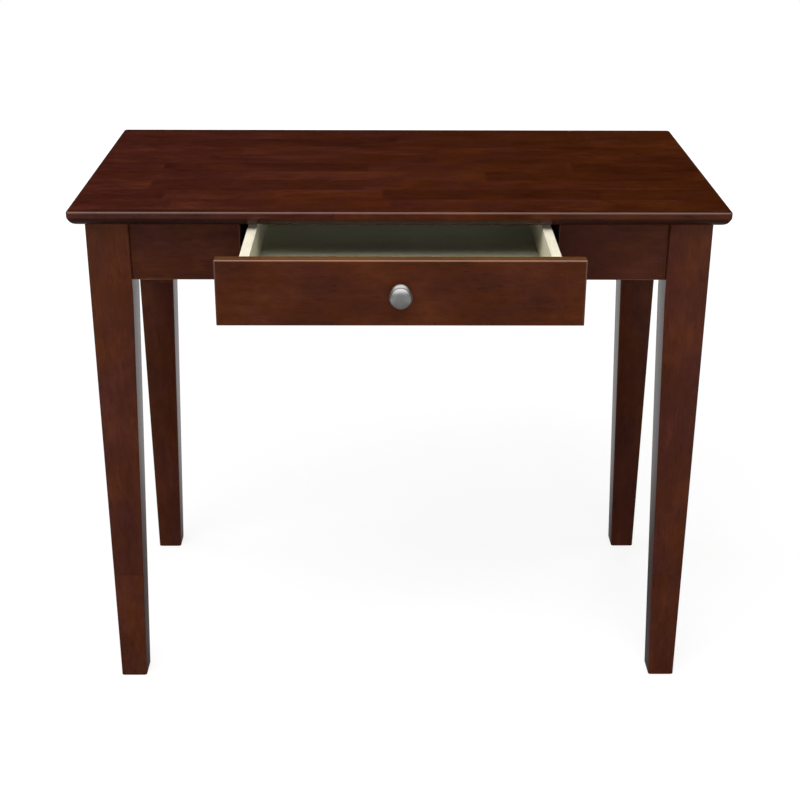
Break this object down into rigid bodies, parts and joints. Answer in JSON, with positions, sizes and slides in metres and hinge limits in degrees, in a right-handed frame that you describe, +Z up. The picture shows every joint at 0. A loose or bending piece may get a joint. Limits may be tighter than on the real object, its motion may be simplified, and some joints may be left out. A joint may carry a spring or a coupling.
{
  "type": "writing desk",
  "caption": "Dark stained wooden writing desk with tapered square legs and a shallow centre drawer that rolls out on side slides.",
  "frame": {"origin": "floor level, at the middle of the object's plan box with the drawer standing part open as stored; the desk top's own middle lies 79 mm behind it", "axes": "+X to the sitter's right, +Y from the sitter towards the back of the desk, +Z up"},
  "size_m": [0.914, 0.6586, 0.762],
  "materials": {
    "stained_wood": "satin lacquer over a dark reddish-brown stain",
    "drawer_wood": "pale, unstained",
    "bare_wood": "bare, sawn",
    "satin_nickel": "satin nickel plate",
    "slide_steel": "dark brown coating",
    "zinc_steel": "bright zinc plate",
    "roller_plastic": "natural nylon"
  },
  "bodies": {
    "desk": {"apron_dowels": "bare_wood", "corner_block_screws": "zinc_steel", "desk_top": "stained_wood", "desk_top_screws": "zinc_steel", "drawer_rail": "stained_wood", "fixed_slide_screws": "zinc_steel", "front_left_apron": "stained_wood", "front_left_corner_block": "bare_wood", "front_left_leg": "stained_wood", "front_right_apron": "stained_wood", "front_right_corner_block": "bare_wood", "front_right_leg": "stained_wood", "front_roller_pins": "zinc_steel", "left_apron": "stained_wood", "left_fixed_slide": "slide_steel", "left_runner_board": "stained_wood", "leg_bolt_nuts": "zinc_steel", "leg_bolt_washers": "zinc_steel", "leg_bolts": "zinc_steel", "rail_dowels": "bare_wood", "rail_screws": "zinc_steel", "rear_apron": "stained_wood", "rear_left_corner_block": "bare_wood", "rear_left_leg": "stained_wood", "rear_right_corner_block": "bare_wood", "rear_right_leg": "stained_wood", "right_apron": "stained_wood", "right_fixed_slide": "slide_steel", "right_runner_board": "stained_wood", "runner_dowels": "bare_wood"},
    "drawer": {"drawer_front": "stained_wood", "drawer_left_side": "drawer_wood", "drawer_right_side": "drawer_wood", "drawer_back": "drawer_wood", "drawer_bottom": "drawer_wood", "drawer_back_brads": "zinc_steel", "drawer_bottom_screws": "zinc_steel", "drawer_knob": "satin_nickel", "knob_screw": "zinc_steel", "left_moving_slide": "slide_steel", "right_moving_slide": "slide_steel", "moving_slide_screws": "zinc_steel", "rear_roller_pins": "zinc_steel"},
    "left_front_roller": {"left_front_roller": "roller_plastic"},
    "right_front_roller": {"right_front_roller": "roller_plastic"},
    "left_rear_roller": {"left_rear_roller": "roller_plastic"},
    "right_rear_roller": {"right_rear_roller": "roller_plastic"}
  },
  "joints": [
    {"name": "drawer_slide", "type": "slide", "parent": "desk", "child": "drawer", "axis": [0, -1, 0], "range_m": [-0.144, 0.146]},
    {"name": "left_front_roller_turn", "type": "hinge", "parent": "desk", "child": "left_front_roller", "pos_m": [-0.21795, -0.12575, 0.6867], "axis": [1, 0, 0], "range_deg": [-1040, 1050]},
    {"name": "left_rear_roller_turn", "type": "hinge", "parent": "drawer", "child": "left_rear_roller", "pos_m": [-0.21555, 0.09575, 0.6855], "axis": [1, 0, 0], "range_deg": [-1040, 1050]},
    {"name": "right_front_roller_turn", "type": "hinge", "parent": "desk", "child": "right_front_roller", "pos_m": [0.21795, -0.12575, 0.6867], "axis": [1, 0, 0], "range_deg": [-1040, 1050]},
    {"name": "right_rear_roller_turn", "type": "hinge", "parent": "drawer", "child": "right_rear_roller", "pos_m": [0.21555, 0.09575, 0.6855], "axis": [1, 0, 0], "range_deg": [-1040, 1050]}
  ],
  "couplings": [
    {"joint": "left_front_roller_turn", "follows": "drawer_slide", "rad_per_m": 125},
    {"joint": "left_rear_roller_turn", "follows": "drawer_slide", "rad_per_m": 125},
    {"joint": "right_front_roller_turn", "follows": "drawer_slide", "rad_per_m": 125},
    {"joint": "right_rear_roller_turn", "follows": "drawer_slide", "rad_per_m": 125}
  ]
}
